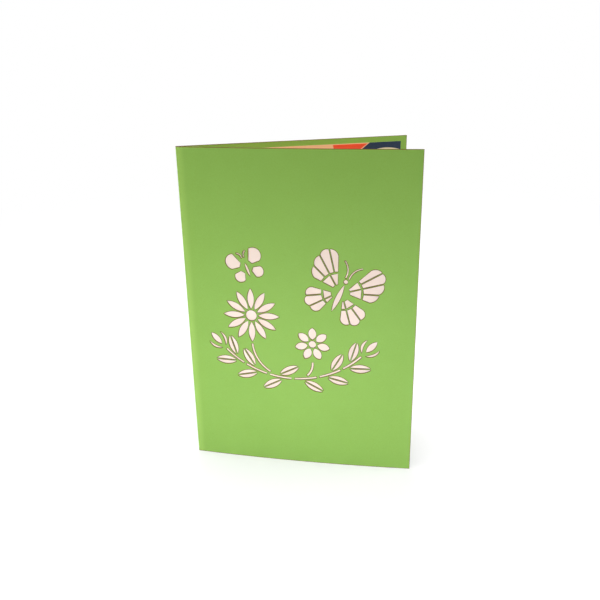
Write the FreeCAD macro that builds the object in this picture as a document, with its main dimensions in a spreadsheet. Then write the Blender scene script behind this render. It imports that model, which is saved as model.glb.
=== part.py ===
import FreeCAD, Part
import os
from math import asin, atan2, copysign, cos, degrees, radians, sin, sqrt
from FreeCAD import Placement, Rotation, Vector

# A pop-up greeting card that stands on its bottom edges, opened a little at its fold.
# Card coordinates: the fold's own centre line is the Z axis, the front panel's chord
# runs along +X and its face looks along -Y, and the back panel opens towards +Y.

UP = Vector(0, 0, 1)

# Driving sizes: millimetres, degrees and plain counts.
SIZES = {
    "closed_width": 125.0,
    "closed_height": 180.0,
    "opening_angle": 23.0,
    "front_bow": 2.0,
    "cover_thickness": 0.35,
    "fold_radius": 0.75,
    "liner_thickness": 0.2,
    "liner_side_margin": 3.5,
    "liner_top_margin": 3.0,
    "liner_foot_margin": 3.0,
    "art_from_fold": 60.5,
    "art_from_foot": 86.5,
    "cut_clearance": 1.0,
    "bridge": 0.8,
    "stem_width": 1.0,
    "feeler_width": 0.6,
    "vine_radius": 53.0,
    "vine_sweep": 90.0,
    "vine_stretches": 6,
    "leaf_length": 11.5,
    "leaf_half_width": 2.4,
    "leaf_splay": 35.0,
    "bud_length": 9.5,
    "large_bloom_petals": 12,
    "large_bloom_radius": 15.5,
    "large_bloom_eye": 3.0,
    "small_bloom_petals": 7,
    "small_bloom_radius": 9.6,
    "small_bloom_eye": 2.0,
    "large_butterfly_reach": 23.0,
    "small_butterfly_reach": 11.5,
    "vine_x": -1.5,
    "vine_z": 20.0,
    "large_bloom_x": -24.0,
    "large_bloom_z": 3.5,
    "small_bloom_x": 9.5,
    "small_bloom_z": -11.5,
    "large_butterfly_x": 24.5,
    "large_butterfly_z": 18.5,
    "small_butterfly_x": -25.5,
    "small_butterfly_z": 31.0,
    "bud_gap": 2.0,
    "layer_thickness": 0.25,
    "glue_tab": 8.0,
    "finger_margin": 25.0,
    "layer_pitch": 27.0,
    "arm_share": 0.707,
    "layer_foot": 12.0,
    "low_layer_height": 50.0,
    "middle_layer_height": 88.0,
    "tall_layer_height": 128.0,
    "scallop_pitch": 15.0,
    "scallop_rise": 2.2,
    "crease_dip": 12.0,
    "flower_petals": 6,
    "flower_radius": 9.0,
    "flower_shoulder_radius": 8.1,
    "flower_valley_radius": 4.6,
    "flower_eye": 1.8,
    "flower_from_crease": 18.0,
    "flower_spacing": 25.0,
    "flower_step_down": 3.0,
    "flower_overlap": 6.0,
    "flyer_wing": 17.0,
    "flyer_height": 24.0,
    "flyer_overlap": 9.0,
}

document = FreeCAD.newDocument("PopUpCard")
sheet = document.addObject("Spreadsheet::Sheet", "Sizes")
for row, (alias, number) in enumerate(SIZES.items(), start=1):
    sheet.set(f"A{row}", alias)
    sheet.set(f"B{row}", str(number))
    sheet.setAlias(f"B{row}", alias)
document.recompute()


def size(alias):
    return float(getattr(sheet, alias))


def count(alias):
    return int(round(size(alias)))


# Plane geometry, used by the folded sections and by the cut-outs alike.

def direction(angle):
    return Vector(cos(radians(angle)), sin(radians(angle)), 0)


def polar(centre, angle, radius):
    return centre + direction(angle) * radius


def turned(point, angle, centre):
    return centre + direction(angle) * point.x + direction(angle + 90) * point.y


def left_of(heading):
    return Vector(-heading.y, heading.x, 0)


def beside(start, end, distance):
    """The point that lies to the left of the middle of start-end."""
    return (start + end) * 0.5 + left_of((end - start).normalize()) * distance


def line(start, end):
    return Part.LineSegment(start, end)


def arc(start, middle, end):
    """An arc through three points, always drawn counter-clockwise."""
    if (middle - start).cross(end - middle).z < 0:
        start, end = end, start
    return Part.ArcOfCircle(start, middle, end)


def path(*points):
    return [line(start, end) for start, end in zip(points, points[1:])]


def circle(centre, radius):
    return Part.Circle(centre, UP, radius)


def crossing(point, heading, other_point, other_heading):
    """Where two straight lines cross."""
    reach = (other_point - point).cross(other_heading).z / heading.cross(other_heading).z
    return point + heading * reach


def first_on_circle(point, heading, centre, radius):
    """Where a line from a point near a circle meets it."""
    middle = heading.dot(centre - point)
    half = sqrt(radius ** 2 - (point + heading * middle - centre).Length ** 2)
    reach = min((middle - half, middle + half), key=abs)
    return point + heading * reach


# The two panels as folded: the front one is bowed a little outwards, the back one is
# flat. A depth is measured from the cover's outside inwards, through the sheets.

THETA = size("opening_angle")
FOLD = size("fold_radius")
CHORD = size("closed_width") - FOLD
BOW = size("front_bow")
BOW_RADIUS = (CHORD ** 2 / 4 + BOW ** 2) / (2 * BOW)
HALF_BEND = degrees(asin(CHORD / 2 / BOW_RADIUS))
FRONT_LENGTH = radians(2 * HALF_BEND) * BOW_RADIUS
BACK_ALONG = direction(THETA)
BACK_OUTWARDS = left_of(BACK_ALONG)
BOW_CENTRE = direction(90 - HALF_BEND) * (BOW_RADIUS - FOLD)


def front_point(along, depth):
    """A point of the front panel, at a length along it from the fold."""
    return polar(BOW_CENTRE, 270 - HALF_BEND + degrees(along / BOW_RADIUS), BOW_RADIUS - depth)


def back_point(along, depth):
    return BACK_OUTWARDS * (FOLD - depth) + BACK_ALONG * along


def panel_run(outer, inner, front_end, back_end):
    """The closed section of a folded sheet between two depths."""
    fold_middle = direction(180 + (THETA - HALF_BEND) / 2)
    edges = [line(front_point(front_end, outer), front_point(front_end, inner)),
             line(back_point(back_end, outer), back_point(back_end, inner))]
    for depth in (outer, inner):
        edges += [
            arc(front_point(0, depth), front_point(front_end / 2, depth), front_point(front_end, depth)),
            arc(front_point(0, depth), fold_middle * (FOLD - depth), back_point(0, depth)),
            line(back_point(0, depth), back_point(back_end, depth))]
    return edges


# The card sits with its bounding box centred on the Z axis.
LOWEST_Y = front_point(FRONT_LENGTH / 2, 0).y
HIGHEST_Y = back_point(CHORD, 0).y
FAR_X = max(front_point(FRONT_LENGTH, 0).x, back_point(CHORD, 0).x)
CARD_PLACE = Vector(-(FAR_X - FOLD) / 2, -(LOWEST_Y + HIGHEST_Y) / 2, 0)


# Bodies: a sketch on one of the body's own planes, a pad, and pockets through it. What
# is cut from the front starts on a plane that lies clear before the front panel.

BEFORE_FRONT = "Sizes.front_bow + Sizes.fold_radius + Sizes.cut_clearance"


def new_body(name):
    body = document.addObject("PartDesign::Body", name)
    body.Label = name
    return body


def sketch_on(body, name, role, edges, lift=None):
    sketch = body.newObject("Sketcher::SketchObject", name)
    plane = next(p for p in body.Origin.OriginFeatures if p.Role == role)
    sketch.AttachmentSupport = [(plane, "")]
    sketch.MapMode = "FlatFace"
    if lift:
        sketch.setExpression("AttachmentOffset.Base.z", lift)
    sketch.addGeometry(edges, False)
    return sketch


def pad(body, sketch, length):
    feature = body.newObject("PartDesign::Pad", sketch.Name + "Pad")
    feature.Profile = sketch
    feature.setExpression("Length", length)
    sketch.Visibility = False
    body.Tip = feature
    document.recompute()
    return feature


def pocket(body, sketch, depth):
    before = body.Shape.Volume
    feature = body.newObject("PartDesign::Pocket", sketch.Name + "Pocket")
    feature.Profile = sketch
    feature.setExpression("Length", depth)
    sketch.Visibility = False
    body.Tip = feature
    document.recompute()
    if body.Shape.Volume >= before:
        raise RuntimeError(f"{feature.Name} cuts nothing")
    return feature


def stand(body, foot="0"):
    """Puts a piece in the card, with its lowest edge at a height of its own."""
    body.Placement = Placement(CARD_PLACE, Rotation())
    body.setExpression("Placement.Base.z", foot)


# Cut-outs: each one is a closed outline of lines and arcs in the panel's own plane.

BRIDGE = size("bridge")
STEM = size("stem_width")


def leaf(base, tip, half_width):
    """Two halves, one each side of the bridge that is left as the midrib."""
    aside = left_of((tip - base).normalize())
    halves = []
    for side in (1, -1):
        shift = aside * (side * BRIDGE / 2)
        middle = beside(base, tip, side * half_width)
        halves.append([line(base + shift, tip + shift), arc(base + shift, middle, tip + shift)])
    return halves


def blade(base, tip, left, right):
    """A pointed shape that stands out by left and right of the line base-tip."""
    return [arc(base, beside(base, tip, left), tip), arc(base, beside(base, tip, -right), tip)]


def slot(start, middle, end, width):
    """A curved slot with square ends along the arc through three points."""
    centre = Part.ArcOfCircle(start, middle, end).Center

    def off(point, distance):
        return point + (point - centre).normalize() * distance

    sides = (width / 2, -width / 2)
    return ([arc(*(off(point, side) for point in (start, middle, end))) for side in sides]
            + [line(off(point, sides[0]), off(point, sides[1])) for point in (start, end)])


def widest_petal(root, tip, half_step):
    """Half the width at which a petal's two arcs come within half a bridge of the line
    between two petals, from the tangent there."""
    square = (1 + cos(half_step)) / 2
    linear = (root + tip) / 2 * sin(half_step) - BRIDGE / 2
    constant = (1 - cos(half_step)) * (tip - root) ** 2 / 8
    return (linear + sqrt(linear ** 2 - 4 * square * constant)) / (2 * square)


def bloom(centre, petals, radius, eye, first_angle):
    """Pointed petals round an eye, with a bridge between each two."""
    root = eye + BRIDGE
    half_width = widest_petal(root, radius, radians(180 / petals))
    outlines = [[circle(centre, eye)]]
    for petal in range(petals):
        angle = first_angle + petal * 360 / petals
        outlines.append(blade(polar(centre, angle, root), polar(centre, angle, radius),
                              half_width, half_width))
    return outlines


def wing_cells(root, spokes, inner, crown=None):
    """The cells between a wing's veins, from an inner radius to the veins' reach."""
    spokes = sorted(spokes)
    half = BRIDGE / 2
    outlines = []
    for (low, low_reach), (high, high_reach) in zip(spokes, spokes[1:]):
        near = [turned(Vector(inner, half, 0), low, root), turned(Vector(inner, -half, 0), high, root)]
        far = [turned(Vector(low_reach, half, 0), low, root),
               turned(Vector(high_reach, -half, 0), high, root)]
        tip = polar(root, (low + high) / 2, (low_reach + high_reach) / 2 * (crown or 1))
        margin = arc(far[0], tip, far[1]) if crown else line(*far)
        outlines.append([line(near[0], far[0]), margin, line(far[1], near[1]), line(*near)])
    return outlines


# A butterfly's veins: their angles above the wing's root and their reach, as a share
# of the longest one. The inner row of cells ends at the given share.
FORE_WING = {"root": (0.065, 0.045), "inner": 0.41, "crown": 1.05,
             "veins": ((3, 0.63), (22, 0.8), (39, 0.93), (54, 1.0), (67, 0.83))}
HIND_WING = {"root": (0.065, -0.02), "inner": 0.33, "crown": 1.09,
             "veins": ((-10, 0.59), (-31, 0.72), (-52, 0.72), (-72, 0.59))}


def butterfly(centre, tilt, reach, two_rows):
    def at(x, y):
        return turned(Vector(x * reach, y * reach, 0), tilt, centre)

    head_radius = 0.048 * reach
    head = at(0, 0.23) + direction(tilt + 90) * (BRIDGE + head_radius)
    feeler = size("feeler_width")
    outlines = [blade(at(0, -0.48), at(0, 0.23), 0.055 * reach, 0.055 * reach)]
    if two_rows:
        outlines.append([circle(head, head_radius)])
    for side in (1, -1):
        for wing in (FORE_WING, HIND_WING):
            root = at(side * wing["root"][0], wing["root"][1])
            veins = [(tilt + (angle if side > 0 else 180 - angle), share * reach)
                     for angle, share in wing["veins"]]
            split = wing["inner"] * reach
            if two_rows:
                inner = [(angle, split) for angle, far in (veins[0], veins[len(veins) // 2], veins[-1])]
                outlines += wing_cells(root, inner, 0.15 * reach)
                outlines += wing_cells(root, veins, split * 1.03 + BRIDGE, wing["crown"])
            else:
                outlines += wing_cells(root, [veins[0], veins[-1]], 0.26 * reach, 1.3)
        foot = polar(head, tilt + 90 - side * 27, head_radius + BRIDGE + feeler / 2)
        tip = at(side * 0.22, 0.76)
        outlines.append(slot(foot, beside(foot, tip, side * 0.06 * reach), tip, feeler))
    return outlines


def bud(base, angle):
    """A closed flower: a middle petal and a sepal each side of it."""
    length = size("bud_length")

    def at(x, y):
        return turned(Vector(x * length, y * length, 0), angle - 90, base)

    outlines = [blade(at(0, 0.2), at(0, 1.1), 0.17 * length, 0.17 * length)]
    for side in (1, -1):
        root, tip = at(side * 0.14, 0.0), at(side * 0.46, 0.8)
        bulges = (-0.07 * length, 0.2 * length)
        outlines.append(blade(root, tip, *(bulges if side > 0 else bulges[::-1])))
    return outlines


# The picture: a vine, two blooms on stems from it and two butterflies. The vine is an
# arc of slots that hangs in the middle, with leaves on both sides of it and a bud at
# each end. A leaf is (angle on the vine, side, growth): side 1 is outside the arc, and
# growth is the way round that it leans.
VINE_LEAVES = ((234, 1, -1), (248, 1, -1), (263, 1, -1), (277, 1, 1), (291, 1, 1), (305, 1, 1),
               (231.8, -1, -1), (245, -1, -1), (262, -1, 1), (295, -1, 1), (308.2, -1, 1))
STEM_FEET = {"large_bloom": 255.5, "small_bloom": 279}
STEM_BEND = 0.12


def spot(name):
    """A motif's middle, from the middle of the picture."""
    return Vector(size(name + "_x"), size(name + "_z"), 0)


def vine():
    radius = size("vine_radius")
    sweep = size("vine_sweep")
    stretches = count("vine_stretches")
    gap = degrees((BRIDGE + STEM) / radius)
    stretch = (sweep - (stretches - 1) * gap) / stretches

    def at(angle, off=0):
        return polar(spot("vine"), angle, radius + off)

    outlines = []
    for k in range(stretches):
        low = 270 - sweep / 2 + k * (stretch + gap)
        outlines.append(slot(at(low), at(low + stretch / 2), at(low + stretch), STEM))
    for angle, side, growth in VINE_LEAVES:
        base = at(angle, side * (STEM / 2 + BRIDGE * 1.5))
        tip = polar(base, angle + growth * (90 - side * size("leaf_splay")), size("leaf_length"))
        outlines += leaf(base, tip, size("leaf_half_width"))
    for growth in (-1, 1):
        angle = 270 + growth * (sweep / 2 + degrees(size("bud_gap") / radius))
        outlines += bud(at(angle), angle + growth * 90)
    for name, foot_angle in STEM_FEET.items():
        top = spot(name) + Vector(0, -size(name + "_radius") - BRIDGE - STEM / 2, 0)
        foot = at(foot_angle, -STEM - BRIDGE)
        bend = copysign(STEM_BEND, top.x - foot.x)
        outlines.append(slot(top, beside(top, foot, bend * (foot - top).Length), foot, STEM))
    return outlines


def art_windows():
    outlines = vine()
    for name in STEM_FEET:
        outlines += bloom(spot(name), count(name + "_petals"), size(name + "_radius"),
                          size(name + "_eye"), 90)
    outlines += butterfly(spot("large_butterfly"), -24, size("large_butterfly_reach"), True)
    outlines += butterfly(spot("small_butterfly"), 20, size("small_butterfly_reach"), False)
    return outlines


# The cover: one sheet of card, folded once, with the picture cut through its front.

def make_cover():
    body = new_body("cover")
    section = sketch_on(body, "CoverSection", "XY_Plane",
                        panel_run(0, size("cover_thickness"), FRONT_LENGTH, CHORD))
    pad(body, section, "Sizes.closed_height")
    centre = Vector(size("art_from_fold") - FOLD, size("art_from_foot"), 0)
    edges = []
    for outline in art_windows():
        for edge in outline:
            edge.translate(centre)
            edges.append(edge)
    windows = sketch_on(body, "CoverWindows", "XZ_Plane", edges,
                        lift=BEFORE_FRONT)
    pocket(body, windows, "Sizes.front_bow + Sizes.cover_thickness + 2 * Sizes.cut_clearance")
    stand(body)
    return body


# The inner sheet: thin printed paper, folded with the cover and glued inside it.

def make_inner_sheet():
    body = new_body("inner_sheet")
    outer = size("cover_thickness")
    margin = size("liner_side_margin")
    section = sketch_on(body, "LinerSection", "XY_Plane",
                        panel_run(outer, outer + size("liner_thickness"),
                                  FRONT_LENGTH - margin, CHORD - margin))
    pad(body, section, "Sizes.closed_height - Sizes.liner_top_margin - Sizes.liner_foot_margin")
    stand(body, "Sizes.liner_foot_margin")
    return body


# The pop-up: three strips across the card, each creased in its middle so that it folds
# inwards and glued to both panels by a tab at each end.

GLUE_DEPTH = size("cover_thickness") + size("liner_thickness")
PAPER = size("layer_thickness")
LOW_DISTANCE = size("closed_width") - size("finger_margin") - size("glue_tab")


class Layer:
    """A strip's section: its glue lines, its crease and the faces of its two arms."""

    def __init__(self, name, distance, height):
        self.name = name
        self.distance = distance
        self.height = height
        self.arm = distance * size("arm_share")
        self.front = front_point(distance, GLUE_DEPTH)
        self.back = back_point(distance, GLUE_DEPTH)
        half_gap = (self.back - self.front).Length / 2
        to_crease = sqrt(self.arm ** 2 - half_gap ** 2)
        self.crease = beside(self.front, self.back, to_crease)
        self.front_heading = (self.crease - self.front).normalize()
        self.back_heading = (self.back - self.crease).normalize()

    def faces(self, depth):
        """A point and heading of each arm's face, at a depth inside its outer face."""
        return ((self.front - left_of(self.front_heading) * depth, self.front_heading),
                (self.back - left_of(self.back_heading) * depth, self.back_heading))

    def crease_at(self, depth):
        front_face, back_face = self.faces(depth)
        return crossing(*front_face, *back_face)

    def section(self):
        end = self.distance + size("glue_tab")
        edges = [line(front_point(end, GLUE_DEPTH), front_point(end, GLUE_DEPTH + PAPER)),
                 line(back_point(end, GLUE_DEPTH), back_point(end, GLUE_DEPTH + PAPER))]
        for depth in (0, PAPER):
            front_face, back_face = self.faces(depth)
            glue = GLUE_DEPTH + depth
            front_knee = first_on_circle(*front_face, BOW_CENTRE, BOW_RADIUS - glue)
            back_knee = crossing(*back_face, back_point(0, glue), BACK_ALONG)
            crease = self.crease_at(depth)
            middle = front_point(self.distance + size("glue_tab") / 2, glue)
            edges += [arc(front_knee, middle, front_point(end, glue)), line(front_knee, crease),
                      line(crease, back_knee), line(back_knee, back_point(end, glue))]
        return edges


LAYERS = {name: Layer(name, LOW_DISTANCE - steps * size("layer_pitch"), size(name + "_height"))
          for steps, name in enumerate(("low_layer", "middle_layer", "tall_layer"))}


def scallops(start, end):
    """Round bumps in a row from start to end."""
    span = end - start
    bumps = max(1, round(span.Length / size("scallop_pitch")))
    step = span * (1 / bumps)
    return [arc(start + step * k, beside(start + step * k, start + step * (k + 1), size("scallop_rise")),
                start + step * (k + 1)) for k in range(bumps)]


def make_layer(layer):
    body = new_body(layer.name)
    section = sketch_on(body, layer.name + "_section", "XY_Plane", layer.section())
    pad(body, section, f"Sizes.{layer.name}_height")
    clear = size("scallop_pitch")
    outer_end = layer.distance + size("glue_tab") + clear
    shoulder = layer.height - size("scallop_rise")
    low = Vector(layer.crease.x, shoulder - size("crease_dip"), 0)
    high = Vector(outer_end, shoulder, 0)
    above = layer.height + clear
    corners = [high, Vector(outer_end, above, 0), Vector(low.x - clear, above, 0),
               Vector(low.x - clear, low.y, 0), low]
    edges = scallops(low, high) + path(*corners)
    top_edge = sketch_on(body, layer.name + "_top_edge", "XZ_Plane", edges,
                         lift=BEFORE_FRONT)
    pocket(body, top_edge, "Sizes.closed_width")
    stand(body, "Sizes.layer_foot")
    return body


# Paper flowers glued on the arms' inner faces, some standing over the top edge.

def flower_outline():
    petals = count("flower_petals")
    step = 360 / petals
    ring = []
    for k in range(petals):
        ring += [polar(Vector(), k * step, size("flower_valley_radius")),
                 polar(Vector(), (k + 0.27) * step, size("flower_shoulder_radius")),
                 polar(Vector(), (k + 0.5) * step, size("flower_radius")),
                 polar(Vector(), (k + 0.73) * step, size("flower_shoulder_radius"))]
    eye = [polar(Vector(), k * step, size("flower_eye")) for k in range(petals)]
    return path(*ring, ring[0]) + path(*eye, eye[0])


def make_flower(layer, side, place):
    name = f"paper_flower_{side}_{place + 1}"
    body = new_body(name)
    pad(body, sketch_on(body, name + "_outline", "XY_Plane", flower_outline()), "Sizes.layer_thickness")
    from_crease = size("flower_from_crease") + place * size("flower_spacing")
    crease = layer.crease_at(PAPER)
    heading = layer.front_heading if side == "front" else layer.back_heading
    middle = crease - heading * from_crease if side == "front" else crease + heading * from_crease
    share = (middle.x - layer.crease.x) / (layer.distance + size("glue_tab") - layer.crease.x)
    edge = layer.height - size("scallop_rise") - size("crease_dip") * (1 - share)
    middle.z = size("layer_foot") + edge + size("flower_radius") - size("flower_overlap")
    middle.z -= place * size("flower_step_down")
    facing = Rotation(UP, degrees(atan2(heading.y, heading.x))) * Rotation(Vector(1, 0, 0), 90)
    body.Placement = Placement(CARD_PLACE + middle, facing)
    return body


# A paper butterfly glued in the middle layer's crease, with a wing along each arm.

def make_flyer(layer):
    wing = size("flyer_wing")
    tall = size("flyer_height")
    creases = [layer.crease_at(depth) for depth in (PAPER, 2 * PAPER)]
    arms = (layer.front_heading * -wing, layer.back_heading * wing)
    edges = [line(crease, crease + arm) for crease in creases for arm in arms]
    edges += [line(creases[0] + arm, creases[1] + arm) for arm in arms]
    body = new_body("paper_butterfly")
    pad(body, sketch_on(body, "FlyerSection", "XY_Plane", edges), "Sizes.flyer_height")

    def at(x, z):
        return Vector(layer.crease.x + x * wing, z * tall, 0)

    wing_edge = [at(0, 0.58), at(0.3, 0.86), at(0.62, 0.97), at(0.92, 0.86), at(0.88, 0.56),
                 at(0.45, 0.44), at(0.76, 0.34), at(0.66, 0.12), at(0.32, 0.04), at(0, 0.2)]
    around = [at(-1, 0.2), at(-1, -1), at(1.5, -1), at(1.5, 2), at(-1, 2), at(-1, 0.58)]
    pocket(body, sketch_on(body, "FlyerOutline", "XZ_Plane", path(*wing_edge, *around, wing_edge[0]),
                           lift=BEFORE_FRONT), "Sizes.closed_width")
    stand(body, "Sizes.layer_foot + Sizes.middle_layer_height - Sizes.crease_dip - Sizes.flyer_overlap")
    return body


pieces = [make_cover(), make_inner_sheet()]
pieces += [make_layer(layer) for layer in LAYERS.values()]
pieces += [make_flower(LAYERS["low_layer"], flower_side, place)
           for flower_side in ("front", "back") for place in range(2)]
pieces.append(make_flyer(LAYERS["middle_layer"]))

document.recompute()
for item in document.Objects:
    if "Invalid" in item.State or "Error" in item.State:
        raise RuntimeError(f"{item.Name} did not compute: {item.State}")
for piece in pieces:
    if piece.Shape.isNull() or not piece.Shape.isValid() or len(piece.Shape.Solids) != 1:
        raise RuntimeError(f"{piece.Label} is not one valid solid")

os.makedirs("parts", exist_ok=True)
for piece in pieces:
    piece.Shape.exportStep(f"parts/{piece.Label}.step")
    box = piece.Shape.BoundBox
    print(f"{piece.Label}: volume {piece.Shape.Volume:.1f} mm3, X {box.XMin:.2f} to {box.XMax:.2f}, "
          f"Y {box.YMin:.2f} to {box.YMax:.2f}, Z {box.ZMin:.2f} to {box.ZMax:.2f}")
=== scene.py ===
import math

import bmesh
import bpy
from mathutils import Matrix, Vector


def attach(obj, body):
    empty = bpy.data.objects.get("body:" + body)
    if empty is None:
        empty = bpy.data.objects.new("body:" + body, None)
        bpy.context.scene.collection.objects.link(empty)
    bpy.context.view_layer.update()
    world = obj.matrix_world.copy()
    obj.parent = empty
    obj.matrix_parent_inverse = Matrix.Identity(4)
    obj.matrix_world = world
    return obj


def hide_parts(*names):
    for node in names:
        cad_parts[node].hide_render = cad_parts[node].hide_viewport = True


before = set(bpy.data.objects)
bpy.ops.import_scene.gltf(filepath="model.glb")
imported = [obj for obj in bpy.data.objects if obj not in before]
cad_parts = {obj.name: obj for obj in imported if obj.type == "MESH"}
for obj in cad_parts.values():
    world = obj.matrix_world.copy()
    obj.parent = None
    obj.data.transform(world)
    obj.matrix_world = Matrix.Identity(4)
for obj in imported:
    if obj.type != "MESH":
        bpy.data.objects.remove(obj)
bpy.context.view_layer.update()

# The camera of the photograph. It looks down a little at the card from in front and from
# the right, and was found from the corners of the card's two panels. Lengths here are in
# millimetres until they are multiplied by MM, but for the studio's, which are in metres.

MM = 0.001
CAMERA_LENS = 41.59
CAMERA_SENSOR = 36
NEAREST_SEEN = 0.01
CAMERA_PLACE = Vector((63.233, -364.005, 231.650)) * MM
CAMERA_RIGHT = Vector((0.9845, 0.1748, -0.0155)).normalized()
CAMERA_FORWARD = Vector((-0.1688, 0.9189, -0.3565)).normalized()


def add_object(name, data):
    """A new object of the scene, made of a mesh, a curve, a lamp or a camera."""
    added = bpy.data.objects.new(name, data)
    bpy.context.scene.collection.objects.link(added)
    return added


photo_camera = add_object("photo_camera", bpy.data.cameras.new("photo_camera"))
bpy.context.scene.camera = photo_camera
photo_camera.data.lens = CAMERA_LENS
photo_camera.data.sensor_width = CAMERA_SENSOR
photo_camera.data.clip_start = NEAREST_SEEN
camera_up = CAMERA_RIGHT.cross(CAMERA_FORWARD)
camera_turn = Matrix((CAMERA_RIGHT, camera_up, -CAMERA_FORWARD)).transposed().to_4x4()
photo_camera.matrix_world = Matrix.Translation(CAMERA_PLACE) @ camera_turn

# The card itself: one sheet of green card stock, scored and folded once. The picture is
# cut through its front panel with a laser, which browns each cut wall and leaves a thin
# line of scorch beside it. The edges of the sheet are cut the same way.

FIBRE_ROUGHNESS = 0.6
FELT_SIZE = 6
FELT_SHARE = 0.7
GLOSS_SPREAD = 0.06
JOIN_DISTANCE = 0.002


def linear(red, green, blue):
    """A paint colour as it looks on a screen, 0 to 255, made into light values."""
    light = []
    for share in (red / 255, green / 255, blue / 255):
        light.append(share / 12.92 if share <= 0.04045 else ((share + 0.055) / 1.055) ** 2.4)
    return (*light, 1.0)


class Ink:
    """A shader socket that takes part in sums written as plain Python."""

    def __init__(self, tree, socket=None):
        self.tree = tree
        self.socket = socket

    def node(self, kind, settings=None, sockets=None, out=0):
        """A new node, with its settings and the values or links of its sockets."""
        made = self.tree.nodes.new("ShaderNode" + kind)
        for name, setting in (settings or {}).items():
            setattr(made, name, setting)
        for name, value in (sockets or {}).items():
            if isinstance(value, Ink):
                self.tree.links.new(value.socket, made.inputs[name])
            else:
                made.inputs[name].default_value = value
        return Ink(self.tree, made.outputs[out])

    def sum(self, operation, first, second=0.0):
        return self.node("Math", {"operation": operation}, {0: first, 1: second})

    def __add__(self, other):
        return self.sum("ADD", self, other)

    __radd__ = __add__

    def __mul__(self, other):
        return self.sum("MULTIPLY", self, other)

    __rmul__ = __mul__

    def __sub__(self, other):
        return self.sum("SUBTRACT", self, other)

    def __rsub__(self, other):
        return self.sum("SUBTRACT", other, self)

    def __truediv__(self, other):
        return self.sum("DIVIDE", self, other)

    def __gt__(self, other):
        return self.sum("GREATER_THAN", self, other)

    def __lt__(self, other):
        return self.sum("LESS_THAN", self, other)

    def __abs__(self):
        return self.sum("ABSOLUTE", self)

    def rise(self, low, high):
        """0 below low, 1 above high and a soft step between; low may be the larger."""
        return self.node("MapRange", {"interpolation_type": "SMOOTHSTEP"},
                         {"Value": self, "From Min": low, "From Max": high})

    def blend(self, below, above):
        """A colour that goes from below to above as this value goes from 0 to 1."""
        return self.node("Mix", {"data_type": "RGBA"}, {0: self, 6: below, 7: above}, out=2)


def new_material(name):
    """A material with a plain shader, an Ink that makes its nodes, and that shader."""
    material = bpy.data.materials.new(name)
    material.use_nodes = True
    tree = material.node_tree
    tree.nodes.clear()
    shader = tree.nodes.new("ShaderNodeBsdfPrincipled")
    output = tree.nodes.new("ShaderNodeOutputMaterial")
    tree.links.new(shader.outputs["BSDF"], output.inputs["Surface"])
    return material, Ink(tree), shader


def card_point(ink):
    """A point of the card, in millimetres."""
    place = ink.node("TexCoord", out="Object")
    return ink.node("VectorMath", {"operation": "SCALE"}, {0: place, "Scale": 1 / MM})


def axes(place):
    """The x, y and z of a point."""
    split = place.node("SeparateXYZ", None, {0: place}).socket.node
    return [Ink(place.tree, axis) for axis in split.outputs]


def fibres(ink, place, size, detail):
    """Paper's cloudy look, about 0 on average, with marks of a size in millimetres."""
    noise = ink.node("TexNoise", None, {"Vector": place, "Scale": 1 / size, "Detail": detail,
                                        "Roughness": FIBRE_ROUGHNESS})
    return (noise - 0.5) * 2


def finish_paper(ink, shader, place, colour, roughness, tooth, tooth_size):
    """Wires a paper's colour, its even gloss and the bump of its fibres to the shader."""
    fine = fibres(ink, place, tooth_size, detail=4)
    felt = fibres(ink, place, tooth_size * FELT_SIZE, detail=2)
    height = (fine + felt * FELT_SHARE) * (tooth * MM)
    bump = ink.node("Bump", None, {"Strength": 1.0, "Distance": 1.0, "Height": height})
    gloss = fine * GLOSS_SPREAD + roughness
    ink.tree.links.new(gloss.socket, shader.inputs["Roughness"])
    ink.tree.links.new(colour.socket, shader.inputs["Base Color"])
    ink.tree.links.new(bump.socket, shader.inputs["Normal"])


def merged_copy(node_name, piece_name):
    """A copy of a node's mesh with its loose triangles joined, as a bmesh and an object."""
    mesh = bpy.data.meshes.new(piece_name)
    shape = bmesh.new()
    shape.from_mesh(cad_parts[node_name].data)
    bmesh.ops.remove_doubles(shape, verts=shape.verts, dist=JOIN_DISTANCE * MM)
    return shape, add_object(piece_name, mesh)


FOLD_X = -61.726
SHEET_LEAN = 0.5
SHEET_FRONT = 0.6
SCORCH_WIDTH = 0.38
OUTLINE_SCORCH = 0.7
TURNED_OVER = 0.3
PULL_BACK_ROUNDS = 70
PULL_BACK_SHARE = 0.12
CARD_SHARP = math.radians(30)
GREEN = linear(147, 191, 86)
GREEN_FIBRE = linear(127, 171, 65)
# The next colour is a painted highlight: the lighter green beside the fold, where the bent card
# turns to the light.
GREEN_FOLD_HIGHLIGHT = linear(166, 206, 96)
SCORCH_BROWN = linear(98, 70, 0)
SMOKE_TAN = linear(154, 154, 24)
CLOUD_SIZE = 14
CLOUD_SHARE = 0.18
GRAIN_SIZE = 0.55
GRAIN_SHARE = 0.45
TONE_LIFT = 0.4
TONE_RANGE = (-0.6, 1.6)
FOLD_HIGHLIGHT_RANGE = (4.5, 0.4)
FOLD_HIGHLIGHT_SHARE = 0.55
SCORCH_GRAIN = 0.1
SMOKE_RANGE = (0.0, 0.2)
BURN_RANGE = (0.12, 0.42)
CARD_SPECULAR = 0.28

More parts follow.
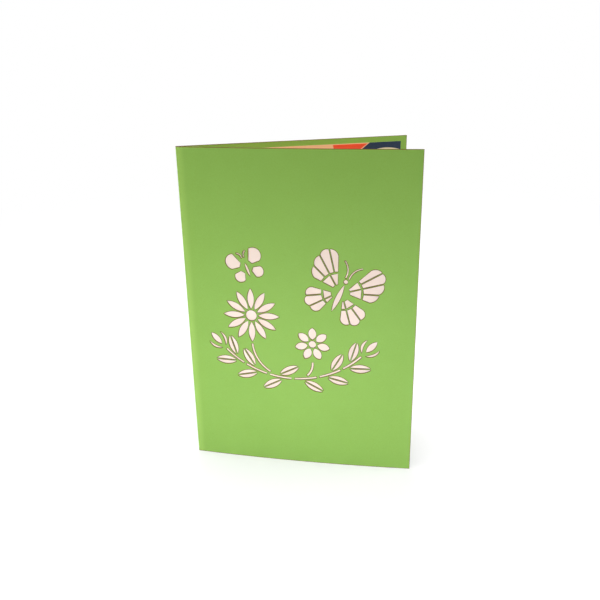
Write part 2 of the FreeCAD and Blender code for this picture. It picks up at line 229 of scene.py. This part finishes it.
# Each face of the sheet gets a narrow rim beside its cuts, which the scorch colours. Where
# two cuts are so close that a rim would turn over, it's pulled back towards its own cut.
card_shape, card = merged_copy("cover", "card")
scorch = card_shape.verts.layers.float.new("scorch")
sheet_faces = [f for f in card_shape.faces if abs(f.normal.z) < SHEET_LEAN
               and (abs(f.normal.y) > SHEET_FRONT or f.calc_center_median().x < FOLD_X * MM)]
cut_walls = set(card_shape.faces) - set(sheet_faces)
facing = {f: f.normal.copy() for f in sheet_faces}
bmesh.ops.inset_region(card_shape, faces=sheet_faces, thickness=SCORCH_WIDTH * MM,
                       use_boundary=True, use_even_offset=False)
cut_verts = {v for f in cut_walls for v in f.verts}
outline_walls = [min(cut_walls, key=lambda f: f.calc_center_median().z)]
for face in outline_walls:
    outline_walls += [f for e in face.edges for f in e.link_faces
                      if f in cut_walls and f not in outline_walls]
outline_verts = {v for f in outline_walls for v in f.verts}
for vert in cut_verts:
    vert[scorch] = OUTLINE_SCORCH if vert in outline_verts else 1.0
beside_cut = {}
for edge in card_shape.edges:
    ends = [v in cut_verts for v in edge.verts]
    if ends[0] != ends[1]:
        beside_cut[edge.verts[ends.index(False)]] = edge.verts[ends.index(True)]
for _ in range(PULL_BACK_ROUNDS):
    card_shape.normal_update()
    turned_over = [f for f in sheet_faces if f.normal.dot(facing[f]) < TURNED_OVER]
    for vert in {v for f in turned_over for v in f.verts if v in beside_cut}:
        vert.co = vert.co.lerp(beside_cut[vert].co, PULL_BACK_SHARE)
for face in card_shape.faces:
    face.smooth = True
card_shape.to_mesh(card.data)
card_shape.free()
card.data.set_sharp_from_angle(angle=CARD_SHARP)

card_stock, ink, shader = new_material("green_card_stock")
place = card_point(ink)
cloud = fibres(ink, place, CLOUD_SIZE, detail=2)
grain = fibres(ink, place, GRAIN_SIZE, detail=4)
tone = (cloud * CLOUD_SHARE + grain * GRAIN_SHARE + TONE_LIFT).rise(*TONE_RANGE)
green = tone.blend(GREEN, GREEN_FIBRE)
# A painted highlight: the green is lightened in a band a few millimetres wide beside the fold,
# where the bent card turns towards the light.
from_fold = axes(place)[0] - FOLD_X
fold_highlight = from_fold.rise(*FOLD_HIGHLIGHT_RANGE) * FOLD_HIGHLIGHT_SHARE
green = fold_highlight.blend(green, GREEN_FOLD_HIGHLIGHT)
burn = ink.node("Attribute", {"attribute_name": "scorch"}, out="Fac") + grain * SCORCH_GRAIN
smoked = burn.rise(*SMOKE_RANGE)
burnt = burn.rise(*BURN_RANGE)
scorched = burnt.blend(smoked.blend(green, SMOKE_TAN), SCORCH_BROWN)
finish_paper(ink, shader, place, scorched, roughness=0.62, tooth=0.018, tooth_size=0.25)
shader.inputs["Specular IOR Level"].default_value = CARD_SPECULAR
card.data.materials.append(card_stock)
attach(card, "root")
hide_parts("cover")

# The inner sheet: thin paper folded with the card and glued inside it. Outside it is left
# a pale pink, which shows through the cut-outs, and inside it is printed in flat fields of
# colour: a peach sky, a slanted red and a slanted navy field, a pale disc and green hills.

FOLD_Y = -23.245
OPENING = math.radians(23)
BOW_CENTRE = (0.351, 939.885, 0.0)
BOW_RADIUS = 965.879
LINER_MIDDLE_FRONT = 0.45
LINER_MIDDLE_BACK = 0.3
LINER_PINK = linear(251, 233, 214)
LINER_SHADE = linear(247, 227, 206)
LINER_CLOUD = 9
SHADE_RANGE = (-0.5, 1.5)
PRINT_GRAIN = 0.5
PRINT_FIBRE = linear(255, 246, 232)
PRINT_FIBRE_RANGE = (-0.6, 1.2)
PRINT_FIBRE_SHARE = 0.03
PRINT_SPECULAR = 0.2
PRINT_BLUR = 0.1
SKY_LOW = linear(244, 214, 160)
SKY_HIGH = linear(250, 198, 150)
SKY_FOOT = 61.95
SKY_TOP = 177.0
RED = linear(248, 84, 46)
RED_LEFT = 82.8
RED_LEAN = 0.2
RED_TOP = 176.6
NAVY = linear(30, 50, 74)
SLANT = 1.385
SLANT_START = 99.3
SLANT_HEIGHT = 174.4
SLANT_GAP = 0.6
DISC = linear(228, 214, 176)
DISC_PLACE = (112.3, 148.9, 0)
DISC_RADIUS = 25.0
SUN_PLACE = (-74.0, 134.0, 0)
SUN_RADIUS = 17.0
# Each row of hills: its height, its colour, and the length, start and height of its waves.
HILLS = (
    (84.0, linear(134, 170, 88), ((19.0, 0.6, 8.0), (8.3, 0.0, 3.0))),
    (52.0, linear(92, 134, 62), ((14.0, 2.0, 7.0),)),
)

printed_paper, ink, shader = new_material("printed_paper")
place = card_point(ink)
x, y, z = axes(place)
over = x - FOLD_X
back = y - FOLD_Y
on_back = (back * math.cos(OPENING / 2) - over * math.sin(OPENING / 2)) > 0
behind = back * math.cos(OPENING) - over * math.sin(OPENING)
flat_place = ink.node("CombineXYZ", None, {0: x, 1: y})
from_centre = ink.node("VectorMath", {"operation": "DISTANCE"},
                       {0: flat_place, 1: BOW_CENTRE}, out="Value")
inside_back = on_back * (behind < LINER_MIDDLE_BACK)
inside_front = (1 - on_back) * (from_centre < BOW_RADIUS - LINER_MIDDLE_FRONT)
inside = inside_back + inside_front
along_back = over * math.cos(OPENING) + back * math.sin(OPENING)
across = on_back * (along_back + over) - over
print_place = ink.node("CombineXYZ", None, {0: across, 1: z})


def disc_share(ink, middle, radius):
    """1 on a disc of the print and 0 off it."""
    away = ink.node("VectorMath", {"operation": "DISTANCE"}, {0: print_place, 1: middle},
                    out="Value")
    return away.rise(radius + PRINT_BLUR, radius - PRINT_BLUR)


sky = z.rise(SKY_FOOT, SKY_TOP).blend(SKY_LOW, SKY_HIGH)
slant = across - (z - SLANT_HEIGHT) * SLANT - SLANT_START
past_left = (across - RED_LEFT - (SLANT_HEIGHT - z) * RED_LEAN).rise(-PRINT_BLUR, PRINT_BLUR)
before_slant = slant.rise(PRINT_BLUR - SLANT_GAP, -PRINT_BLUR - SLANT_GAP)
print_colour = (past_left * before_slant * (z < RED_TOP)).blend(sky, RED)
print_colour = slant.rise(0.0, 2 * PRINT_BLUR).blend(print_colour, NAVY)
print_colour = disc_share(ink, DISC_PLACE, DISC_RADIUS).blend(print_colour, DISC)
print_colour = disc_share(ink, SUN_PLACE, SUN_RADIUS).blend(print_colour, RED)
for hill_height, hill_colour, waves in HILLS:
    hill_top = hill_height
    for length, start, wave_height in waves:
        hill_top = hill_top + ink.sum("SINE", across / length + start) * wave_height
    on_hill = (z - hill_top).rise(PRINT_BLUR, -PRINT_BLUR)
    print_colour = on_hill.blend(print_colour, hill_colour)
grain = fibres(ink, place, PRINT_GRAIN, detail=4)
cloud = fibres(ink, place, LINER_CLOUD, detail=2)
shade = (grain * 0.5 + cloud * 0.5 + 0.5).rise(*SHADE_RANGE)
bare = grain.rise(*PRINT_FIBRE_RANGE) * PRINT_FIBRE_SHARE
printed = bare.blend(print_colour, PRINT_FIBRE)
plain = shade.blend(LINER_PINK, LINER_SHADE)
liner_colour = inside.blend(plain, printed)
finish_paper(ink, shader, place, liner_colour, roughness=0.6, tooth=0.006, tooth_size=0.2)
shader.inputs["Specular IOR Level"].default_value = PRINT_SPECULAR
inner_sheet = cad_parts["inner_sheet"]
inner_sheet.data.materials.clear()
inner_sheet.data.materials.append(printed_paper)

# The pop-up: three paper strips across the card, one behind the other, creased in the
# middle and glued to both panels by their end tabs. They are printed as rows of grass.

# Each row: its paper, its dark and its bright blades, and a blade's width and height.
GRASS_ROWS = {
    "low_layer": (linear(124, 173, 84), linear(84, 138, 62), linear(176, 208, 108), 5.2, 46),
    "middle_layer": (linear(168, 200, 112), linear(122, 168, 80), linear(208, 226, 150), 6.4, 82),
    "tall_layer": (linear(101, 156, 104), linear(70, 124, 84), linear(146, 188, 126), 7.6, 120),
}
LAYER_FOOT = 12.0
LEAN_SIZE = 60
LEAN_REACH = 6
SWAY_LENGTH = 26
SWAY_REACH = 1.6
BRIGHT_WIDTH = 1.37
BRIGHT_HEIGHT = 0.72
BRIGHT_SHIFT = 2.1
BLADE_TAPER = 1.15
UNEVEN_TIPS = 0.25
UNEVEN_WIDTH = 1.3
TIP_EDGE = (-0.01, 0.02)
RIB_EDGE = (0.10, 0.05)
RIB_SHARE = 0.5
GRASS_GRAIN = 0.5
GRASS_FIBRE = linear(236, 240, 214)
GRASS_FIBRE_SHARE = 0.16
FIBRE_RANGE = (-1.0, 1.0)

for name, (paper, dark_blade, bright_blade, width, height) in GRASS_ROWS.items():
    grass, ink, shader = new_material(name + "_grass")
    place = card_point(ink)
    x, y, z = axes(place)
    lean = fibres(ink, place, LEAN_SIZE, detail=1) * LEAN_REACH
    sway = ink.sum("SINE", z / SWAY_LENGTH) * SWAY_REACH
    blade_rows = (
        (dark_blade, width, height, 0.0),
        (bright_blade, width * BRIGHT_WIDTH, height * BRIGHT_HEIGHT, BRIGHT_SHIFT),
    )
    colour = paper
    for blade_colour, pitch, tip, shift in blade_rows:
        across_blade = ink.sum("PINGPONG", x + sway + lean + shift, pitch / 2) / (pitch / 2)
        uneven = fibres(ink, place, pitch * UNEVEN_WIDTH, detail=0) * tip * UNEVEN_TIPS
        left_above = (tip + LAYER_FOOT + uneven - z) / tip
        blade = (left_above - across_blade * BLADE_TAPER).rise(*TIP_EDGE)
        ribbed = (across_blade.rise(*RIB_EDGE) * RIB_SHARE + (1 - RIB_SHARE)) * blade
        colour = ribbed.blend(colour, blade_colour)
    grain = fibres(ink, place, GRASS_GRAIN, detail=4)
    colour = (grain.rise(*FIBRE_RANGE) * GRASS_FIBRE_SHARE).blend(colour, GRASS_FIBRE)
    finish_paper(ink, shader, place, colour, roughness=0.66, tooth=0.008, tooth_size=0.22)
    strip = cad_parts[name]
    strip.data.materials.clear()
    strip.data.materials.append(grass)

# The paper flowers on the low strip: each has two rings of petals cut from thin paper and
# folded down their middles, the small ring glued on the large one under a round button.

PETALS = 6
PETAL_ROOT = 0.9
PETAL_PAPER = 0.2
PETAL_SHARE = 0.48
PETAL_SHOULDER = 0.64
PETAL_TIP = 0.02
LARGE_RING = {"reach": 9.0, "turn": 0, "lift": 0.0, "rise": 0.9, "fold": 0.35}
SMALL_RING = {"reach": 5.6, "turn": 30, "lift": 0.45, "rise": 1.1, "fold": 0.3}
BUTTON_RADIUS = 1.9
BUTTON_FLATNESS = 0.42
BUTTON_LIFT = 0.95
BUTTON_MARK = 2.0
FLOWER_SHARP = math.radians(40)
PETAL_GRAIN = 0.45
PETAL_GRAIN_SHARE = 0.12
BLUSH_RANGE = (0.1, 0.95)
FRONT_ARM = 173.636
BACK_ARM = 28.124
FLOWERS = {
    "paper_flower_front_1": ((-15.765, -19.610, 53.887), FRONT_ARM, "coral_paper"),
    "paper_flower_front_2": ((9.081, -22.381, 54.985), FRONT_ARM, "peach_paper"),
    "paper_flower_back_1": ((-17.779, -9.130, 53.555), BACK_ARM, "coral_paper"),
    "paper_flower_back_2": ((4.269, 2.654, 54.191), BACK_ARM, "peach_paper"),
}
# The colours of a petal's root, of its tip and of the button.
PETAL_COLOURS = {
    "coral_paper": (linear(206, 60, 42), linear(240, 122, 92), linear(250, 206, 120)),
    "peach_paper": (linear(236, 150, 100), linear(253, 204, 164), linear(206, 66, 44)),
}


def petal_ring(shape, petal_reach, reach, turn, lift, rise, fold):
    """A ring of petals, each drawn from a grid: rounded, folded and curled upwards."""
    shoulder = reach * PETAL_SHOULDER
    for k in range(PETALS):
        petal = bmesh.ops.create_grid(shape, x_segments=12, y_segments=6, size=0.5)["verts"]
        for vert in petal:
            out = PETAL_ROOT + (vert.co.x + 0.5) * (reach - PETAL_ROOT)
            half = PETAL_SHARE * min(out, shoulder)
            if out > shoulder:
                past_shoulder = (out - shoulder) / (reach - shoulder)
                half *= math.sqrt(max(PETAL_TIP, 1 - past_shoulder ** 2))
            from_middle = vert.co.y * 2
            curl = rise * (out / reach) ** 2
            vert[petal_reach] = out / reach
            vert.co = (out, from_middle * half,
                       lift + curl + fold * abs(from_middle) * out / reach)
        around = Matrix.Rotation(math.radians(360 / PETALS * k + turn), 3, "Z")
        bmesh.ops.rotate(shape, verts=petal, cent=(0, 0, 0), matrix=around)


petal_papers = {}
for slot, (heart, tip, button) in PETAL_COLOURS.items():
    petals, ink, shader = new_material(slot)
    place = card_point(ink)
    reach = ink.node("Attribute", {"attribute_name": "petal_reach"}, out="Fac")
    grain = fibres(ink, place, PETAL_GRAIN, detail=4)
    colour = (reach + grain * PETAL_GRAIN_SHARE).rise(*BLUSH_RANGE).blend(heart, tip)
    colour = (reach > (1 + BUTTON_MARK) / 2).blend(colour, button)
    finish_paper(ink, shader, place, colour, roughness=0.62, tooth=0.008, tooth_size=0.2)
    petal_papers[slot] = petals

for name, (middle, heading, slot) in FLOWERS.items():
    shape = bmesh.new()
    petal_reach = shape.verts.layers.float.new("petal_reach")
    petal_ring(shape, petal_reach, **LARGE_RING)
    petal_ring(shape, petal_reach, **SMALL_RING)
    bmesh.ops.solidify(shape, geom=list(shape.faces), thickness=PETAL_PAPER)
    button = bmesh.ops.create_uvsphere(shape, u_segments=24, v_segments=12,
                                       radius=BUTTON_RADIUS)["verts"]
    for vert in button:
        vert[petal_reach] = BUTTON_MARK
    bmesh.ops.scale(shape, vec=(1, 1, BUTTON_FLATNESS), verts=button)
    bmesh.ops.translate(shape, vec=(0, 0, BUTTON_LIFT), verts=button)
    upright = Matrix.Rotation(math.radians(90), 4, "X") @ Matrix.Scale(MM, 4)
    along_arm = Matrix.Rotation(math.radians(heading), 4, "Z")
    to_place = Matrix.Translation(Vector(middle) * MM) @ along_arm @ upright
    bmesh.ops.transform(shape, matrix=to_place, verts=shape.verts)
    bmesh.ops.recalc_face_normals(shape, faces=shape.faces)
    for face in shape.faces:
        face.smooth = True
    mesh = bpy.data.meshes.new("dressed_" + name)
    shape.to_mesh(mesh)
    shape.free()
    mesh.set_sharp_from_angle(angle=FLOWER_SHARP)
    mesh.materials.append(petal_papers[slot])
    flower = add_object("dressed_" + name, mesh)
    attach(flower, "root")
    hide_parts(name)

# The paper butterfly in the middle strip's crease: one sheet folded between the wings,
# with rounded corners, a rolled paper body in the fold and two thin paper feelers.

WING_CREASE = (-41.592, -19.379)
WING_ROOT_HEIGHT = 90.5
WING_CORNER = 1.3
WING_TURN = 0.97
ACROSS_PAPER = 0.99
LONGEST_CORNER = 0.9
FOLD_HEADING = math.radians(10.5)
FLAT_ANGLE = math.radians(1)
VEIN_ANGLE = 0.13
VEIN_EDGE = (0.32, 0.18)
VEIN_START = (2.0, 4.0)
VEIN_SHARE = 0.8
SPOT_REACH = 12.2
SPOT_SIDES = (0.85, 0.7)
SPOT_ENDS = (0.9, 0.7)
RIM_RANGE = (3, 12)
WING_HEART = linear(92, 118, 150)
WING_RIM = linear(48, 64, 94)
VEIN_INK = linear(24, 32, 52)
SPOT_PEACH = linear(248, 196, 150)
WING_GRAIN = 0.45
WING_FIBRE = linear(220, 226, 236)
WING_FIBRE_SHARE = 0.14

wings_shape, wings = merged_copy("paper_butterfly", "butterfly_wings")
bmesh.ops.dissolve_limit(wings_shape, angle_limit=FLAT_ANGLE, verts=wings_shape.verts,
                         edges=wings_shape.edges)
corners = [e for e in wings_shape.edges
           if abs((e.verts[0].co - e.verts[1].co).normalized().y) > ACROSS_PAPER
           and e.calc_length() < LONGEST_CORNER * MM]
bmesh.ops.bevel(wings_shape, geom=corners, affect="EDGES", offset=WING_CORNER * MM,
                offset_type="OFFSET", segments=4, profile=0.5, material=-1,
                clamp_overlap=True)
wings_shape.to_mesh(wings.data)
wings_shape.free()

wing_paper, ink, shader = new_material("navy_wings")
place = card_point(ink)
x, y, z = axes(place)
out = (x - WING_CREASE[0]) / WING_TURN
up = z - WING_ROOT_HEIGHT
angle = ink.sum("ARCTAN2", up, out)
flat_place = ink.node("CombineXYZ", None, {0: out, 1: up})
away = ink.node("VectorMath", {"operation": "LENGTH"}, {0: flat_place}, out="Value")
from_vein = ink.sum("PINGPONG", angle, VEIN_ANGLE) * away
veins = from_vein.rise(*VEIN_EDGE) * away.rise(*VEIN_START)
from_spot = ink.sum("PINGPONG", angle + VEIN_ANGLE, VEIN_ANGLE) * away
spots = from_spot.rise(*SPOT_SIDES) * abs(away - SPOT_REACH).rise(*SPOT_ENDS)
grain = fibres(ink, place, WING_GRAIN, detail=4)
colour = away.rise(*RIM_RANGE).blend(WING_HEART, WING_RIM)
colour = (veins * VEIN_SHARE).blend(colour, VEIN_INK)
colour = spots.blend(colour, SPOT_PEACH)
colour = (grain.rise(*FIBRE_RANGE) * WING_FIBRE_SHARE).blend(colour, WING_FIBRE)
finish_paper(ink, shader, place, colour, roughness=0.6, tooth=0.008, tooth_size=0.2)
wings.data.materials.append(wing_paper)
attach(wings, "root")
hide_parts("paper_butterfly")

BODY_OUT = 1.9
BODY_HEIGHT = 91.0
BODY_HALF_WIDTH = 0.75
BODY_WAIST = 0.85
BODY_SWELL = 0.25
BODY_HALF_LENGTH = 6.5
HEAD_RADIUS = 0.85
HEAD_LIFT = 6.9
ROLL_PITCH = 0.7
ROLL_EDGE = (0.15, 0.3)
BODY_GRAIN = 0.5
BODY_DARK = linear(28, 34, 50)
BODY_RING = linear(60, 70, 96)
BODY_FIBRE = linear(150, 150, 160)
BODY_FIBRE_SHARE = 0.1

body_paper, ink, shader = new_material("rolled_body")
place = card_point(ink)
grain = fibres(ink, place, BODY_GRAIN, detail=3)
rings = ink.sum("PINGPONG", axes(place)[2], ROLL_PITCH).rise(*ROLL_EDGE)
colour = rings.blend(BODY_DARK, BODY_RING)
colour = (grain.rise(*FIBRE_RANGE) * BODY_FIBRE_SHARE).blend(colour, BODY_FIBRE)
finish_paper(ink, shader, place, colour, roughness=0.6, tooth=0.01, tooth_size=0.3)
out_of_fold = Vector((math.cos(FOLD_HEADING), math.sin(FOLD_HEADING), 0))
aside = Vector((-math.sin(FOLD_HEADING), math.cos(FOLD_HEADING), 0))
middle = Vector((*WING_CREASE, BODY_HEIGHT)) + out_of_fold * BODY_OUT
body_shape = bmesh.new()
bmesh.ops.create_uvsphere(body_shape, u_segments=20, v_segments=16, radius=1.0)
for vert in body_shape.verts:
    half_width = BODY_HALF_WIDTH * (BODY_WAIST + BODY_SWELL * vert.co.z)
    vert.co = Vector((vert.co.x * half_width, vert.co.y * half_width,
                      vert.co.z * BODY_HALF_LENGTH))
head = bmesh.ops.create_uvsphere(body_shape, u_segments=16, v_segments=10,
                                 radius=HEAD_RADIUS)
bmesh.ops.translate(body_shape, vec=(0, 0, HEAD_LIFT), verts=head["verts"])
to_place = Matrix.Translation(middle * MM) @ Matrix.Scale(MM, 4)
bmesh.ops.transform(body_shape, matrix=to_place, verts=body_shape.verts)
for face in body_shape.faces:
    face.smooth = True
body_mesh = bpy.data.meshes.new("butterfly_body")
body_shape.to_mesh(body_mesh)
body_shape.free()
body_mesh.materials.append(body_paper)
butterfly_body = add_object("butterfly_body", body_mesh)
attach(butterfly_body, "root")

FEELER_RADIUS = 0.14
FEELER_SPREAD = 0.45
FEELER_FORWARDS = 0.9
FEELER_LINE = ((0.0, 6.9), (0.6, 9.4), (2.2, 11.2), (4.2, 11.6))

for side, bend in (("left", 1), ("right", -1)):
    curve = bpy.data.curves.new("butterfly_feeler_" + side, "CURVE")
    curve.dimensions = "3D"
    curve.bevel_depth = FEELER_RADIUS * MM
    curve.bevel_resolution = 3
    curve.use_fill_caps = True
    line = curve.splines.new("NURBS")
    line.points.add(len(FEELER_LINE) - 1)
    for point, (out, up) in zip(line.points, FEELER_LINE):
        sideways = aside * out * FEELER_SPREAD * bend
        forwards = out_of_fold * out * FEELER_FORWARDS
        point.co = ((middle + sideways + forwards + Vector((0, 0, up))) * MM).to_4d()
    line.order_u = 4
    line.use_endpoint_u = True
    feeler = add_object("butterfly_feeler_" + side, curve)
    curve.materials.append(body_paper)
    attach(feeler, "root")

# The studio: a wide white table that has no end in the camera's view, under soft light
# from above and from windows on every side. Two narrow soft beams give the card the slow
# change from its bright foot and left side to its darker top right corner.

FLOOR_SIZE = 8.0
FLOOR_NEAR = 0.28
FLOOR_FAR = 0.75
FLOOR_GLOW = 0.45
TABLE_ROUGHNESS = 0.9
TABLE_GREY = (0.54, 0.54, 0.54, 1)
TABLE_WHITE = (0.985, 0.985, 0.985, 1)
PURE_WHITE = (1, 1, 1, 1)
WORLD_FILL = 0.28

floor_shape = bmesh.new()
bmesh.ops.create_grid(floor_shape, x_segments=1, y_segments=1, size=FLOOR_SIZE / 2)
floor_mesh = bpy.data.meshes.new("studio_floor")
floor_shape.to_mesh(floor_mesh)
floor_shape.free()
studio_floor = add_object("studio_floor", floor_mesh)


def background_seen(ink):
    """1 for the rays in which the background is seen as it is, 0 for those that light."""
    rays = ink.node("LightPath").socket.node.outputs
    seen = [Ink(ink.tree, rays[kind]) for kind in
            ("Is Camera Ray", "Is Glossy Ray", "Is Transmission Ray")]
    return seen[0] + seen[1] + seen[2] > 0.5


# Where it's seen, the table is white and turns into a plain white glow far off. For the
# light that it gives back to the card, it's a plain grey.
floor_material, ink, shader = new_material("white_table")
shader.inputs["Roughness"].default_value = TABLE_ROUGHNESS
shader.inputs["Specular IOR Level"].default_value = 0.0
seen = background_seen(ink)
table = seen.blend(TABLE_GREY, TABLE_WHITE)
ink.tree.links.new(table.socket, shader.inputs["Base Color"])
away = ink.node("VectorMath", {"operation": "LENGTH"}, {0: card_point(ink)}, out="Value")
far = away.rise(FLOOR_NEAR / MM, FLOOR_FAR / MM) * (1 - FLOOR_GLOW) + FLOOR_GLOW
white = ink.node("Emission", None, {"Color": PURE_WHITE, "Strength": 1.0})
matt = Ink(ink.tree, shader.outputs["BSDF"])
mixed = ink.node("MixShader", None, {0: far * seen, 1: matt, 2: white})
output = next(n for n in ink.tree.nodes if n.type == "OUTPUT_MATERIAL")
ink.tree.links.new(mixed.socket, output.inputs["Surface"])
floor_mesh.materials.append(floor_material)

studio = bpy.data.worlds.new("studio")
bpy.context.scene.world = studio
studio.use_nodes = True
studio.node_tree.nodes.clear()
ink = Ink(studio.node_tree)
strength = background_seen(ink) * (1 - WORLD_FILL) + WORLD_FILL
light = ink.node("Background", None, {"Color": PURE_WHITE, "Strength": strength})
world_output = ink.tree.nodes.new("ShaderNodeOutputWorld")
ink.tree.links.new(light.socket, world_output.inputs["Surface"])


def soft_light(name, watts, width, height, spread, at, target, tint=(1, 1, 1)):
    """A soft rectangular lamp that the camera doesn't see, turned towards its target."""
    lamp = bpy.data.lights.new(name, "AREA")
    lamp.shape = "RECTANGLE"
    lamp.size = width
    lamp.size_y = height
    lamp.energy = watts
    lamp.color = tint
    lamp.spread = math.radians(spread)
    holder = add_object(name, lamp)
    holder.location = at
    holder.rotation_euler = (Vector(target) - Vector(at)).to_track_quat("-Z", "Y").to_euler()
    holder.visible_camera = False


# Each lamp: its watts, width, height, spread in degrees, place and target.
soft_light("overhead_light", 10.6, 0.9, 0.7, 180, (-0.30, -0.02, 1.3), (0, 0, 0))
soft_light("left_window", 1.3, 0.5, 0.5, 180, (-0.9, -0.42, 0.35), (0, 0, 0.09))
soft_light("front_window", 1.0, 0.5, 0.4, 180, (-0.1, -0.95, 0.75), (0, 0, 0.12))
soft_light("right_window", 2.2, 0.5, 0.5, 180, (0.95, -0.08, 0.6), (0, 0, 0.09))
soft_light("opening_window", 4.0, 0.5, 0.5, 180, (0.85, 0.17, 0.35), (0, 0, 0.08))
soft_light("back_window", 5.0, 0.5, 0.4, 180, (-0.25, 1.0, 0.7), (0, 0, 0.09))
soft_light("upper_beam", 0.028, 0.20, 0.20, 30, (-0.42, -0.48, 0.42), (-0.075, 0, 0.165))
soft_light("low_beam", 0.132, 0.30, 0.10, 38, (0.0, -0.48, 0.02), (-0.004, 0, 0.028),
           tint=(0.97, 0.96, 1.27))

bpy.context.scene.view_settings.view_transform = "Standard"
